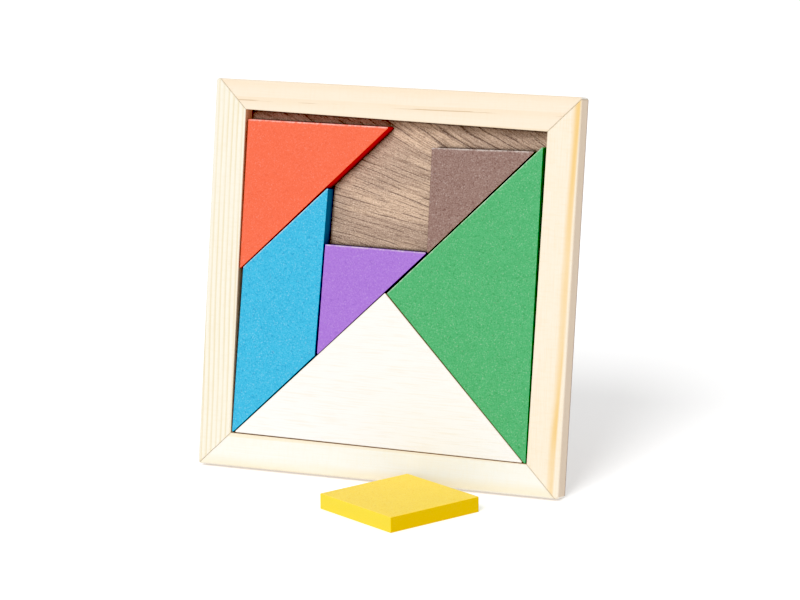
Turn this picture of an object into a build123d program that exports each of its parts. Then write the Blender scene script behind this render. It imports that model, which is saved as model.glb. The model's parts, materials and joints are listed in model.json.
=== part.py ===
from build123d import *
from math import cos, radians, sin
import os

# A tangram: seven flat wooden tiles in a shallow wooden tray. The tray stands leaning back on its
# lower back edge with six tiles in it, and the square tile lies loose on the table in front.
# X runs along the tray's width, -Y is the side that a player sits at, and Z is up. The origin is on
# the table, in the middle of the ground that the puzzle covers.

os.makedirs("parts", exist_ok=True)

# Tray, in millimetres
tray_width = 120.0
tray_height = 120.2
tray_depth = 6.5
tray_lean = 10.1  # degrees back from upright
left_side_taper = 0.7  # the left side comes in by this much from top to foot
corner_round = 0.9  # of the tray's outline
outer_edge_round = 0.5
opening_edge_round = 0.2
mitre_gap = 0.1  # the glue line between two strips

# The strips are planed and mitred by hand, so they taper a little and the opening isn't quite
# square. These are its corners, from the tray's lower left corner.
opening_lower_left = (11.3, 10.4)
opening_lower_right = (109.3, 9.6)
opening_upper_right = (109.7, 109.4)
opening_upper_left = (10.5, 111.0)

# The back panel, let into a rebate round the back of the strips
panel_thickness = 1.5
panel_border = 6.5  # how much of each strip shows behind, round the panel
panel_play = 0.1

# Tiles
tile_thickness = 4.8
tile_play = 0.05  # between a tile's back and the panel
tile_corner_round = 0.3
tile_edge_round = 0.25
square_side = 33.6

# Where the corners of each tile in the tray lie, from the tray's lower left corner. The tiles are
# sawn by hand, so their square corners are up to a degree out and no two gaps are quite alike.
tray_tiles = {
    "large_triangle_natural": [(60.3, 57.6), (12.3, 10.65), (108.2, 9.8)],
    "large_triangle_green": [(60.85, 57.45), (108.9, 9.3), (108.6, 105.1)],
    "medium_triangle_red": [(11.4, 108.05), (11.25, 61.45), (58.75, 108.05)],
    "small_triangle_purple": [(39.6, 71.1), (38.85, 36.75), (73.4, 70.8)],
    "small_triangle_brown": [(72.9, 102.6), (73.25, 70.3), (106.2, 103.3)],
    "parallelogram_blue": [(38.2, 36.6), (39.6, 88.6), (12.4, 62.2), (11.6, 10.35)],
}

# The loose square's centre, from the tray's left side and from its lower back edge, and its turn
square_from_left = 78.5
square_from_back_edge = 30.3
square_turn = 28.8

# The tray's lower back edge just touches the table
lean_cos = cos(radians(tray_lean))
lean_sin = sin(radians(tray_lean))
rounding_lift = outer_edge_round * (lean_cos + lean_sin - 1)
square_reach = square_side / 2 * (cos(radians(square_turn)) + sin(radians(square_turn)))
back_edge_y = (square_from_back_edge + square_reach - tray_height * lean_sin) / 2

# On this plane x runs across the front face, y up it and z out of it, from its lower left corner
tray_plane = Plane(
    origin=(-tray_width / 2, back_edge_y - tray_depth * lean_cos, tray_depth * lean_sin - rounding_lift),
    x_dir=(1, 0, 0),
    z_dir=(0, -lean_cos, lean_sin),
)
tray_normal = Axis(tray_plane.origin, tray_plane.z_dir)
back_plane = tray_plane.offset(-tray_depth)
tile_plane = back_plane.offset(panel_thickness + tile_play)
square_plane = Plane(
    Location(
        (square_from_left - tray_width / 2, back_edge_y - square_from_back_edge, 0),
        (0, 0, -square_turn),
    )
)

# Each strip lies between the mitres at two opening corners. A mitre runs at 45 degrees to the
# tray's sides, and the pair of numbers is the way from it towards the strip's middle.
strips = {
    "frame_bottom": ((opening_lower_left, (1, -1)), (opening_lower_right, (-1, -1))),
    "frame_right": ((opening_lower_right, (1, 1)), (opening_upper_right, (1, -1))),
    "frame_top": ((opening_upper_right, (-1, 1)), (opening_upper_left, (1, 1))),
    "frame_left": ((opening_upper_left, (-1, -1)), (opening_lower_left, (-1, 1))),
}


def save(piece, name):
    """Label a finished piece and write its STEP file."""
    piece.part.label = name
    export_step(piece.part, f"parts/{name}.step")


def mitre_plane(corner, towards):
    """The cut through an opening corner, half a glue line in from the mitre itself."""
    facing = tray_plane.x_dir * towards[0] + tray_plane.y_dir * towards[1]
    cut = Plane(origin=tray_plane.from_local_coords((corner[0], corner[1], 0)), z_dir=facing)
    return cut.offset(mitre_gap / 2)


def make_strip(name, mitres):
    """One strip of the tray: the whole rebated border, cut off at the strip's two mitres."""
    with BuildPart() as strip:
        with BuildSketch(back_plane):
            with BuildLine():
                Polyline(
                    (left_side_taper, 0),
                    (tray_width, 0),
                    (tray_width, tray_height),
                    (0, tray_height),
                    close=True,
                )
            outline = make_face()
            fillet(outline.vertices(), corner_round)
            with BuildLine():
                Polyline(
                    opening_lower_left,
                    opening_lower_right,
                    opening_upper_right,
                    opening_upper_left,
                    close=True,
                )
            make_face(mode=Mode.SUBTRACT)
        extrude(amount=tray_depth)
        with BuildSketch(back_plane):
            with Locations((tray_width / 2, tray_height / 2)):
                Rectangle(tray_width - 2 * panel_border, tray_height - 2 * panel_border)
        extrude(amount=panel_thickness, mode=Mode.SUBTRACT)
        ends = strip.faces().sort_by(tray_normal)
        fillet(ends[0].outer_wire().edges() + ends[-1].outer_wire().edges(), outer_edge_round)
        front = strip.faces().sort_by(tray_normal)[-1]
        fillet(front.inner_wires()[0].edges(), opening_edge_round)
        for corner, towards in mitres:
            split(bisect_by=mitre_plane(corner, towards), keep=Keep.TOP)
    save(strip, name)


def make_panel():
    """The thin board behind the tiles."""
    inset = 2 * (panel_border + panel_play)
    with BuildPart() as panel:
        with BuildSketch(back_plane):
            with Locations((tray_width / 2, tray_height / 2)):
                Rectangle(tray_width - inset, tray_height - inset)
        extrude(amount=panel_thickness)
    save(panel, "back_panel")


def make_tile(name, plane, corners):
    """A flat tile with the given outline, its sharp corners and its edges eased."""
    with BuildPart() as tile:
        with BuildSketch(plane) as outline:
            with BuildLine():
                Polyline(*corners, close=True)
            make_face()
            fillet(outline.vertices(), tile_corner_round)
        extrude(amount=tile_thickness)
        faces = tile.faces().sort_by(Axis(plane.origin, plane.z_dir))
        fillet(faces[0].edges() + faces[-1].edges(), tile_edge_round)
    save(tile, name)


for name, mitres in strips.items():
    make_strip(name, mitres)

make_panel()

for name, corners in tray_tiles.items():
    make_tile(name, tile_plane, corners)

half_side = square_side / 2
make_tile(
    "square_yellow",
    square_plane,
    [(-half_side, -half_side), (half_side, -half_side), (half_side, half_side), (-half_side, half_side)],
)
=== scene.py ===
import json
from math import cos, pi, radians, sin

import bpy
from mathutils import Matrix, Vector


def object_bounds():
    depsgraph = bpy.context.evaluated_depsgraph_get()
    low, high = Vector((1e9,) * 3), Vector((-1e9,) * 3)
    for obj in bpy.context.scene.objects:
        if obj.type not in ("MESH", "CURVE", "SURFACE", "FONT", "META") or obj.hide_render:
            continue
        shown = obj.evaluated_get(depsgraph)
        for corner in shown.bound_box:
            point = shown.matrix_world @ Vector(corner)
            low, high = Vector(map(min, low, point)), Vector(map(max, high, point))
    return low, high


# Looks for the tangram: a pine tray with a walnut-faced back, six tiles in the tray and one on the
# table in front of it. Every piece of the object is a CAD node, and this script gives them their
# materials, the light and the camera.

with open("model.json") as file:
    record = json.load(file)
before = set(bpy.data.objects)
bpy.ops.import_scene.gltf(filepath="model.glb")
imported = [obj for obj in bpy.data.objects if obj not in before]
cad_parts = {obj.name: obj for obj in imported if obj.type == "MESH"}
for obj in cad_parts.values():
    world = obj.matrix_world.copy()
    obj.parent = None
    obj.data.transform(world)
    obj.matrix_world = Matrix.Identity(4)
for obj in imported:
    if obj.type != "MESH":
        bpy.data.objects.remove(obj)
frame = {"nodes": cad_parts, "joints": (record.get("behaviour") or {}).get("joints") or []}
cad_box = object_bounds()
nodes = frame["nodes"]
centre = (cad_box[0] + cad_box[1]) / 2
mm = 0.001

# The tray's own directions: across its front, up it and out of it. The tiles lift along the last.
lift = next(joint for joint in frame["joints"] if joint["name"] == "medium_triangle_red_lift")
tray_out = Vector(lift["axis"]).normalized()
tray_across = Vector((1, 0, 0))
tray_up = tray_out.cross(tray_across)
tray_turn = Matrix((tray_across, tray_up, tray_out)).to_euler()

# The ways that the mitres face, and the way from each strip to the middle of the tray.
rising = (tray_across + tray_up).normalized()
falling = (tray_across - tray_up).normalized()
inwards = {
    "frame_left": tray_across,
    "frame_right": -tray_across,
    "frame_top": -tray_up,
    "frame_bottom": tray_up,
}

table_up = Vector((0, 0, 1))
table_back = Vector((0, 1, 0))


# ---------------------------------------------------------------- colours

# How much brighter than its base colour a matt surface looks in the studio's light, by where it is.
face_gain = 1.505  # the front of the tray and of the tiles in it
flat_gain = 1.176  # a face that lies flat on the table
side_gain = 1.262  # the tray's sides
mitre_gain = 1.135  # the faces inside the mitres, set so that the joints stay pale: painted light in the joints
left_gain = 1.455  # the yellow square's left side
right_gain = 1.55  # the yellow square's right side

veil = 0.01  # the light that gloss adds to every colour
darkest = 0.001  # the least that a base colour's channel may be, before its gain


def srgb(red, green, blue, gain=face_gain):
    """The base colour that looks like this one, in 0 to 255, in the studio's light. A surface that
    gets less light than its gain says may need a number past 255."""
    linear = [((v / 255 + 0.055) / 1.055) ** 2.4 for v in (red, green, blue)]
    return tuple(max(v - veil, darkest) / gain for v in linear) + (1,)


# ---------------------------------------------------------------- shader building


class Shader:
    """A material in the making. A socket's value is a number, a vector, a colour or the output
    of an earlier node."""

    def __init__(self, name):
        self.material = bpy.data.materials.new(name)
        self.material.use_nodes = True
        self.nodes = self.material.node_tree.nodes
        self.links = self.material.node_tree.links
        self.nodes.clear()

    def add(self, kind, sockets, output=0, **settings):
        """Adds a node and gives the output asked for."""
        node = self.nodes.new("ShaderNode" + kind)
        for name, value in settings.items():
            setattr(node, name, value)
        for name, value in sockets.items():
            if isinstance(value, bpy.types.NodeSocket):
                self.links.new(value, node.inputs[name])
            else:
                node.inputs[name].default_value = value
        return node.outputs[output] if node.outputs else node

    def math(self, operation, a, b=0.0):
        return self.add("Math", {0: a, 1: b}, operation=operation)

    def plus(self, a, b):
        return self.math("ADD", a, b)

    def minus(self, a, b):
        return self.math("SUBTRACT", a, b)

    def times(self, a, b):
        return self.math("MULTIPLY", a, b)

    def over(self, a, b):
        return self.math("DIVIDE", a, b)

    def absolute(self, value):
        return self.math("ABSOLUTE", value)

    def dot(self, a, b):
        return self.add("VectorMath", {0: a, 1: b}, "Value", operation="DOT_PRODUCT")

    def ramp(self, value, low, high, to_low=0.0, to_high=1.0):
        """value, eased from to_low at low to to_high at high."""
        sockets = {"Value": value, "From Min": low, "From Max": high}
        sockets.update({"To Min": to_low, "To Max": to_high})
        return self.add("MapRange", sockets, interpolation_type="SMOOTHSTEP")

    def mix(self, share, a, b):
        """The colour a with a share of the colour b in it."""
        return self.add("Mix", {0: share, 6: a, 7: b}, 2, data_type="RGBA")

    def noise(self, at, scale=1.0, detail=2.0, roughness=0.5):
        sockets = {"Vector": at, "Scale": scale, "Detail": detail, "Roughness": roughness}
        return self.add("TexNoise", sockets)

    def stretch(self, at, factors, shift=(0, 0, 0)):
        return self.add("Mapping", {"Vector": at, "Scale": factors, "Location": shift})

    def split(self, at):
        """A place's three parts."""
        return self.add("SeparateXYZ", {"Vector": at}).node.outputs

    def place(self):
        """The place in the object's frame, in metres."""
        return self.add("TexCoord", {}, "Object")

    def tray_place(self):
        """Millimetres across the tray, up it and out of it."""
        sockets = {"Vector": self.place(), "Rotation": tray_turn, "Scale": (1 / mm,) * 3}
        return self.add("Mapping", sockets)

    def towards(self, direction):
        """1 on a face that looks along the direction, 0 on one beside it, -1 on one against it."""
        return self.dot(self.add("TexCoord", {}, "Normal"), direction)

    def facing(self, direction):
        """1 on a face that looks along the direction or against it, 0 on one beside it."""
        return self.absolute(self.towards(direction))

    def rounded(self, radius):
        """The surface's normal, with its edges rounded off."""
        return self.add("Bevel", {"Radius": radius}, samples=8)

    def rim(self, radius):
        """Rises from 0 on a flat face towards 1 along its edges."""
        flat = self.add("NewGeometry", {}, "Normal")
        return self.ramp(self.dot(self.rounded(radius), flat), 0.995, 0.88)

    def crest(self, radius, direction):
        """Rises from 0 to 1 along the edges on the side that the direction points to."""
        return self.ramp(self.dot(self.rounded(radius), direction), 0.08, 0.35)

    def corner(self, reach):
        """1 in the open, falling towards 0 where another surface stands close by."""
        return self.add("AmbientOcclusion", {"Distance": reach}, "AO", samples=8)

    def line(self, value, width):
        """A thin line, a width of the way across, wherever the value passes a half."""
        off = self.absolute(self.minus(self.math("FRACT", value), 0.5))
        return self.ramp(off, width, 0.0)

    def finish(self, colour, roughness, height, depth, **constants):
        """Puts the colour, the roughness and the relief, depth deep, on the surface."""
        relief = self.add("Bump", {"Height": height, "Distance": depth, "Strength": 1.0})
        sockets = {"Base Color": colour, "Roughness": roughness, "Normal": relief}
        sockets.update({name.replace("_", " "): v for name, v in constants.items()})
        surface = self.add("BsdfPrincipled", sockets)
        self.add("OutputMaterial", {"Surface": surface})
        return self.material


def back_of(name, out):
    """How far along the direction a node's hindmost corner lies, in millimetres."""
    piece = nodes[name]
    return min(out.dot(piece.matrix_world @ v.co) for v in piece.data.vertices) / mm


def paint_node(name, material):
    for slot in nodes[name].material_slots:
        slot.material = material


# ---------------------------------------------------------------- pine strips

resin = srgb(198, 158, 110)
outer_side = srgb(254, 231, 206, side_gain)
# the inner walls' warmer colour, a painted reflection of the tiles' colour
inner_wall_reflection = srgb(256, 206, 160, side_gain)
# the colour of the darker line along the sides' back edge
back_edge_dark = srgb(120, 62, 44)
# the painted light on the faces inside the mitres
mitre_painted_light = srgb(255, 252, 244, mitre_gain)
# the colour of the painted shade along the strips' rounded edges
pine_edge_shade = srgb(228, 200, 160)
ring_wander = 1.4  # millimetres


def pine_sides(s, node, out, colour):
    """The strip's colour with its sawn sides in it, a painted reflection warming the inner walls, a
    darker line along the sides' back edge and painted light on the faces inside the mitres. out is
    the place out of the tray, in millimetres."""
    side = s.ramp(s.facing(tray_out), 0.75, 0.35)
    # The inner walls take a painted warm reflection.
    sawn = s.mix(s.ramp(s.towards(inwards[node]), 0.5, 0.8), outer_side, inner_wall_reflection)
    colour = s.mix(s.times(side, 0.8), colour, sawn)
    # Darker towards the back edge of the sides.
    depth = s.minus(out, back_of(node, tray_out))
    colour = s.mix(s.times(side, s.ramp(depth, 1.1, 0.6, 0.0, 0.75)), colour, back_edge_dark)
    # Painted light on the faces inside the mitres, so that the joints stay pale.
    mitre = s.math("MAXIMUM", s.facing(rising), s.facing(falling))
    return s.mix(s.ramp(mitre, 0.9, 0.98), colour, mitre_painted_light)


def pine(node, upright, base, late, spacing, rise, phase, strength, slope=0.0, canals=None):
    """Planed pine. An upright strip has its grain up the tray, the others have it across. A year's
    ring is spacing wide and moved by phase. Its late wood begins at rise, a share of the ring, and
    shows by strength. slope is how far the grain runs off the strip's line, and canals is where a
    row of resin canals lies, in millimetres up the tray."""
    s = Shader("pine_" + node)
    at = s.tray_place()
    if upright:
        at = s.add("Mapping", {"Vector": at, "Rotation": (0, 0, pi / 2)})
    along, across, out = s.split(at)

    wander = s.noise(s.stretch(at, (0.014, 0.03, 0.06)), detail=1.0)
    ring = s.plus(across, s.times(along, slope))
    ring = s.plus(ring, s.times(s.minus(wander, 0.5), ring_wander))
    year = s.math("FRACT", s.plus(s.over(ring, spacing), phase))
    summer = s.times(s.ramp(year, rise, 0.93), s.ramp(year, 1.0, 0.95))
    patch = s.noise(s.stretch(at, (0.03, 0.25, 0.25)), detail=1.0)
    summer = s.times(summer, s.ramp(patch, 0.3, 0.6, 0.6 * strength, strength))
    fibre = s.noise(s.stretch(at, (0.08, 4.0, 4.0)), detail=4.0, roughness=0.65)
    planing = s.noise(s.stretch(at, (1.3, 0.22, 0.22)), detail=2.0)

    colour = s.mix(summer, base, late)
    colour = s.mix(s.ramp(fibre, 0.42, 0.72, 0.0, 0.22), colour, late)
    colour = s.mix(s.ramp(planing, 0.45, 0.70, 0.0, 0.10), colour, late)
    if canals is not None:
        row = s.ramp(s.absolute(s.minus(ring, canals)), 0.24, 0.04)
        canal = s.noise(s.stretch(at, (0.07, 1.4, 1.0), (9, 3, 1)), detail=1.0)
        canal = s.times(s.ramp(canal, 0.50, 0.60), row)
        colour = s.mix(s.times(canal, 0.6), colour, resin)
    colour = pine_sides(s, node, out, colour)
    # Painted shade along the rounded edges, broken up by the fibre.
    rim = s.times(s.rim(0.7 * mm), s.ramp(fibre, 0.35, 0.6, 0.2, 0.5))
    colour = s.mix(rim, colour, pine_edge_shade)
    rough = s.ramp(fibre, 0.3, 0.7, 0.55, 0.7)
    height = s.plus(fibre, s.times(summer, 0.5))
    return s.finish(colour, rough, height, 0.03 * mm, Specular_IOR_Level=0.3)


strips = {
    "frame_left": {
        "upright": True,
        "base": srgb(254, 248, 233),
        "late": srgb(238, 221, 177),
        "spacing": 1.62,
        "rise": 0.45,
        "phase": 0.0,
        "strength": 0.7,
        "slope": -0.016,
    },
    "frame_right": {
        "upright": True,
        "base": srgb(254, 243, 224),
        "late": srgb(248, 211, 144),
        "spacing": 16.0,
        "rise": 0.80,
        "phase": 0.332,
        "strength": 1.0,
        "slope": 0.010,
    },
    "frame_top": {
        "upright": False,
        "base": srgb(254, 240, 219),
        "late": srgb(250, 225, 190),
        "spacing": 5.0,
        "rise": 0.3,
        "phase": 0.4,
        "strength": 0.4,
        "canals": 116.8,
    },
    # A spacing below 0 turns the rings round, so that they fade the other way.
    "frame_bottom": {
        "upright": False,
        "base": srgb(254, 252, 243),
        "late": srgb(252, 237, 202),
        "spacing": -9.0,
        "rise": 0.5,
        "phase": 0.323,
        "strength": 0.65,
    },
}
for name, look in strips.items():
    paint_node(name, pine(name, **look))


# ---------------------------------------------------------------- the walnut-faced back panel

turn_height = 103.0  # millimetres up the tray, where the grain turns steep
turn_reach = 6.0  # millimetres that the turn is spread over
steep_fall = 0.95  # how far the grain falls for each millimetre to the right, above the turn
gentle_share = 4.0  # the grain falls this many times less below the turn than above it
grain_wander = 4.0  # millimetres
wide_gap = 1.7  # from one dark line to the next
fine_gap = 0.83
wide_wander = 3.4  # how many of their gaps the dark lines wander by at most
fine_wander = 2.5  # how many times further that is for the fine lines
euler = 2.718


def veneer_place(s, at):
    """A place along the veneer's grain, across it and out of the tray, and its part across. The
    grain falls gently to the right below the turn and steeply above it."""
    along, up, out = s.split(at)
    below = s.math("EXPONENT", s.over(s.minus(turn_height, up), turn_reach))
    below = s.math("LOGARITHM", s.plus(below, 1.0), euler)
    level = s.plus(s.times(along, steep_fall), up)
    level = s.minus(level, s.times(below, turn_reach * (gentle_share - 1)))
    bend = s.noise(s.stretch(at, (0.05, 0.06, 0.05)), detail=1.0)
    level = s.plus(level, s.times(bend, grain_wander))
    across = s.over(level, gentle_share)
    return s.add("CombineXYZ", {"X": along, "Y": across, "Z": out}), across


def walnut(name):
    """Walnut veneer: bands of tone, fine fibre, wavy broken lines, pores and sanding grit, with
    painted shade where the tray's walls and the tiles stand close."""
    s = Shader(name)
    at = s.tray_place()
    grain, across = veneer_place(s, at)

    band = s.noise(s.stretch(grain, (0.04, 0.18, 0.1)), detail=2.0)
    tone = s.mix(s.ramp(band, 0.40, 0.60), srgb(233, 201, 173), srgb(205, 176, 154))
    fibre = s.noise(s.stretch(grain, (0.07, 3.2, 0.3)), detail=4.0, roughness=0.75)
    tone = s.mix(s.ramp(fibre, 0.47, 0.64, 0.0, 0.6), tone, srgb(146, 116, 96))
    tone = s.mix(s.ramp(fibre, 0.45, 0.32, 0.0, 0.5), tone, srgb(244, 214, 188))

    bow = s.noise(s.stretch(grain, (0.020, 0.14, 0.2), (4, 7, 2)), detail=3.0)
    bow = s.times(bow, wide_wander)
    wide = s.line(s.plus(s.over(across, wide_gap), bow), 0.12)
    fine = s.line(s.plus(s.over(across, fine_gap), s.times(bow, fine_wander)), 0.16)
    broken = s.noise(s.stretch(grain, (0.13, 0.8, 0.3), (1, 2, 3)), detail=3.0)
    wide = s.times(wide, s.ramp(broken, 0.42, 0.51))
    fine = s.times(fine, s.ramp(broken, 0.56, 0.44))
    tone = s.mix(s.times(fine, 0.6), tone, srgb(124, 94, 74))
    tone = s.mix(s.times(wide, 0.95), tone, srgb(98, 68, 52))

    pore = s.noise(s.stretch(grain, (0.8, 7.0, 1.0)), detail=1.0)
    tone = s.mix(s.ramp(pore, 0.56, 0.68, 0.0, 0.6), tone, srgb(124, 94, 76))
    grit = s.noise(at, 2.6, detail=2.0, roughness=0.7)
    tone = s.mix(s.ramp(grit, 0.5, 0.70, 0.0, 0.6), tone, srgb(128, 100, 84))
    tone = s.mix(s.ramp(grit, 0.47, 0.28, 0.0, 0.65), tone, srgb(252, 228, 206))
    # Painted shade: the panel goes nearly black where the walls and the tiles stand close to it.
    painted_contact_shade = s.ramp(s.corner(1.9 * mm), 0.74, 0.50, 0.0, 0.88)
    tone = s.mix(painted_contact_shade, tone, srgb(44, 30, 22))
    height = s.minus(s.times(fibre, 0.4), s.plus(wide, pore))
    return s.finish(tone, s.ramp(band, 0.3, 0.7, 0.5, 0.62), height, 0.05 * mm)


paint_node("back_panel", walnut("walnut_board"))


# ---------------------------------------------------------------- tiles

# The pale colour of the stain's flecks, and of the painted highlight along the tiles' upper edges.
pale_fleck_and_highlight = srgb(255, 246, 240)
back_shade_share = 0.12  # the share of an edge's colour that is left where its painted shade is darkest


def plain_wood(name):
    """Bare pale plywood with faint grain across the tray."""
    s = Shader(name)
    fibre = s.noise(s.stretch(s.tray_place(), (0.10, 2.0, 2.0)), detail=4.0, roughness=0.6)
    colour = s.mix(s.ramp(fibre, 0.45, 0.72, 0.0, 0.5), srgb(254, 252, 248), srgb(248, 238, 220))
    flat = s.ramp(s.facing(tray_out), 0.55, 0.85)
    colour = s.mix(flat, srgb(214, 178, 132), colour)
    colour = s.mix(s.times(s.rim(0.7 * mm), 0.5), colour, srgb(232, 212, 180))
    return s.finish(colour, s.ramp(fibre, 0.3, 0.7, 0.5, 0.65), fibre, 0.03 * mm)


def shade_towards_back(s, sawn, edge, out, back):
    """The sawn edge's colour with painted shade, nearly black by the tile's back, which lies back
    millimetres along the direction out."""
    shaded_edge = tuple(v * back_shade_share for v in edge[:3]) + (1,)
    rise = s.minus(s.over(s.dot(s.place(), out), mm), back)
    return s.mix(s.ramp(rise, 2.4, 0.2, 0.0, 0.75), sawn, shaded_edge)


def stained(name, out, top, face, edge, speck, specks, back=None, grain=None, end_shade=None):
    """Thin opaque stain on a wooden tile whose face looks along out: face on its flat sides, and
    edge on its sawn edges, which take up more of it and are darkened by painted shade towards the
    back where that is given.
    specks is how much of the speck colour shows. The rim on the side that top points to gets a
    painted highlight, broken up with noise. Edges that face along the grain get the colour end,
    which is painted shade."""
    s = Shader(name)
    at = s.tray_place()
    cloud = s.noise(at, 0.22, detail=2.0)
    grit = s.noise(at, 2.3, detail=3.0, roughness=0.7)
    dots = s.noise(s.stretch(at, (1, 1, 1), (7, 5, 3)), 1.3, detail=1.0)

    sawn = edge
    # Painted shade: the sides that face along the grain get the colour end, the square's right side
    # as it looks in shade.
    if end_shade is not None:
        sawn = s.mix(s.ramp(s.facing(grain), 0.65, 0.8), sawn, end_shade)
    # Painted shade on the sawn edges, darkest by the tile's back, where the tile meets the panel.
    if back is not None:
        sawn = shade_towards_back(s, sawn, edge, out, back)

    painted = s.mix(s.ramp(cloud, 0.3, 0.7, 0.0, 0.10), face, speck)
    painted = s.mix(s.ramp(grit, 0.47, 0.70, 0.0, specks), painted, speck)
    painted = s.mix(s.ramp(dots, 0.64, 0.72, 0.0, specks), painted, speck)
    painted = s.mix(s.ramp(grit, 0.45, 0.28, 0.0, specks * 0.30), painted, pale_fleck_and_highlight)
    # Painted highlight along the upper edges, where the light catches them, broken up with noise.
    top_edge_highlight = s.ramp(s.noise(at, 0.9, detail=3.0), 0.35, 0.60, 0.25, 0.9)
    top_edge_highlight = s.times(s.crest(1.0 * mm, top), top_edge_highlight)
    painted = s.mix(top_edge_highlight, painted, s.mix(0.6, face, pale_fleck_and_highlight))

    flat = s.ramp(s.facing(out), 0.40, 0.75)
    colour = s.mix(flat, sawn, painted)
    rough = s.ramp(grit, 0.3, 0.7, 0.45, 0.62)
    return s.finish(colour, rough, grit, 0.06 * mm, Specular_IOR_Level=0.4)


paint_node("large_triangle_natural", plain_wood("natural_wood"))

# The colours of the face, the sawn edges and the specks, and how much of the specks shows.
stains = {
    "medium_triangle_red": (srgb(252, 117, 83), srgb(262, 18, 4), srgb(238, 96, 64), 0.45),
    "parallelogram_blue": (srgb(72, 195, 233), srgb(6, 136, 190), srgb(44, 164, 210), 0.75),
    "small_triangle_purple": (srgb(178, 127, 222), srgb(60, 10, 120), srgb(158, 106, 206), 0.6),
    "small_triangle_brown": (srgb(160, 130, 120), srgb(84, 54, 46), srgb(126, 92, 84), 0.9),
    "large_triangle_green": (srgb(90, 187, 122), srgb(40, 172, 76), srgb(66, 164, 96), 0.75),
}
for name, look in stains.items():
    back = back_of(name, tray_out)
    paint_node(name, stained(name + "_stain", tray_out, tray_up, *look, back=back))

# The yellow square lies turned on the table. Its specks darken its face a little, so the face
# starts 4 percent lighter.
square_turn = radians(28.8)
square_shade_axis = Vector((cos(square_turn), -sin(square_turn), 0))
square_look = {
    "face": srgb(261, 229, 92, flat_gain * 0.96),
    "edge": srgb(253, 227, 70, left_gain),
    "speck": srgb(250, 205, 62, flat_gain),
    "specks": 0.5,
    "grain": square_shade_axis,
    # The right side's colour in shade, painted on the sides that face along the grain.
    "end_shade": srgb(258, 214, 8, right_gain),
}
square_stain = stained("square_yellow_stain", table_up, table_back, **square_look)
paint_node("square_yellow", square_stain)


# ---------------------------------------------------------------- studio


def make_floor(size, grey, glow):
    """A matt floor that gives off a little light of its own, so that its shadows stay pale."""
    mesh = bpy.data.meshes.new("floor")
    half = size / 2
    corners = [(-half, -half, 0), (half, -half, 0), (half, half, 0), (-half, half, 0)]
    mesh.from_pydata(corners, [], [(0, 1, 2, 3)])
    floor = bpy.data.objects.new("floor", mesh)
    bpy.context.scene.collection.objects.link(floor)
    s = Shader("floor")
    sockets = {"Base Color": (grey, grey, grey, 1), "Roughness": 0.9}
    sockets.update({"Emission Color": (1, 1, 1, 1), "Emission Strength": glow})
    surface = s.add("BsdfPrincipled", sockets)
    s.add("OutputMaterial", {"Surface": surface})
    mesh.materials.append(s.material)


def add_sun(name, azimuth, elevation, spread, strength):
    """A soft light from far off. Azimuth 0 is straight in front, 90 to the right."""
    a, e = radians(azimuth), radians(elevation)
    back = Vector((sin(a) * cos(e), -cos(a) * cos(e), sin(e)))
    lamp = bpy.data.lights.new(name, "SUN")
    lamp.angle = radians(spread)
    lamp.energy = strength * pi
    light = bpy.data.objects.new(name, lamp)
    light.rotation_euler = back.to_track_quat("Z", "Y").to_euler()
    bpy.context.scene.collection.objects.link(light)


def make_world(strength):
    world = bpy.data.worlds.new("studio")
    world.use_nodes = True
    sky = world.node_tree.nodes["Background"]
    sky.inputs["Color"].default_value = (1, 1, 1, 1)
    sky.inputs["Strength"].default_value = strength
    bpy.context.scene.world = world


def set_contrast(black):
    """Plain colours, with everything up to the black level shown as black."""
    view = bpy.context.scene.view_settings
    view.view_transform = "Standard"
    view.use_curve_mapping = True
    view.curve_mapping.black_level = (black, black, black)
    view.curve_mapping.update()


make_floor(size=12.0, grey=0.76, glow=0.33)
make_world(strength=0.60)
add_sun("key", azimuth=-3, elevation=38, spread=26, strength=0.7285)
add_sun("fill", azimuth=4, elevation=7, spread=40, strength=0.10)
set_contrast(black=0.035)


# ---------------------------------------------------------------- camera

view_left = radians(22.447)  # how far the camera looks to the left of straight ahead
view_down = radians(12.544)
view_roll = radians(-0.596)
view_distance = 0.9649
aim = centre + Vector((0.0135, 0.0, 0.0010))  # a little to the right of the middle and above it

forward = Vector((-sin(view_left) * cos(view_down), cos(view_left) * cos(view_down), -sin(view_down)))
right = forward.cross(table_up).normalized()
up = right.cross(forward)
rolled_right = right * cos(view_roll) + up * sin(view_roll)
rolled_up = up * cos(view_roll) - right * sin(view_roll)

camera = bpy.data.cameras.new("camera")
camera.lens = 145.93
camera.sensor_width = 36.0
camera_object = bpy.data.objects.new("camera", camera)
axes = Matrix((rolled_right, rolled_up, -forward)).transposed()
camera_object.matrix_world = Matrix.Translation(aim - forward * view_distance) @ axes.to_4x4()
bpy.context.scene.collection.objects.link(camera_object)
bpy.context.scene.camera = camera_object
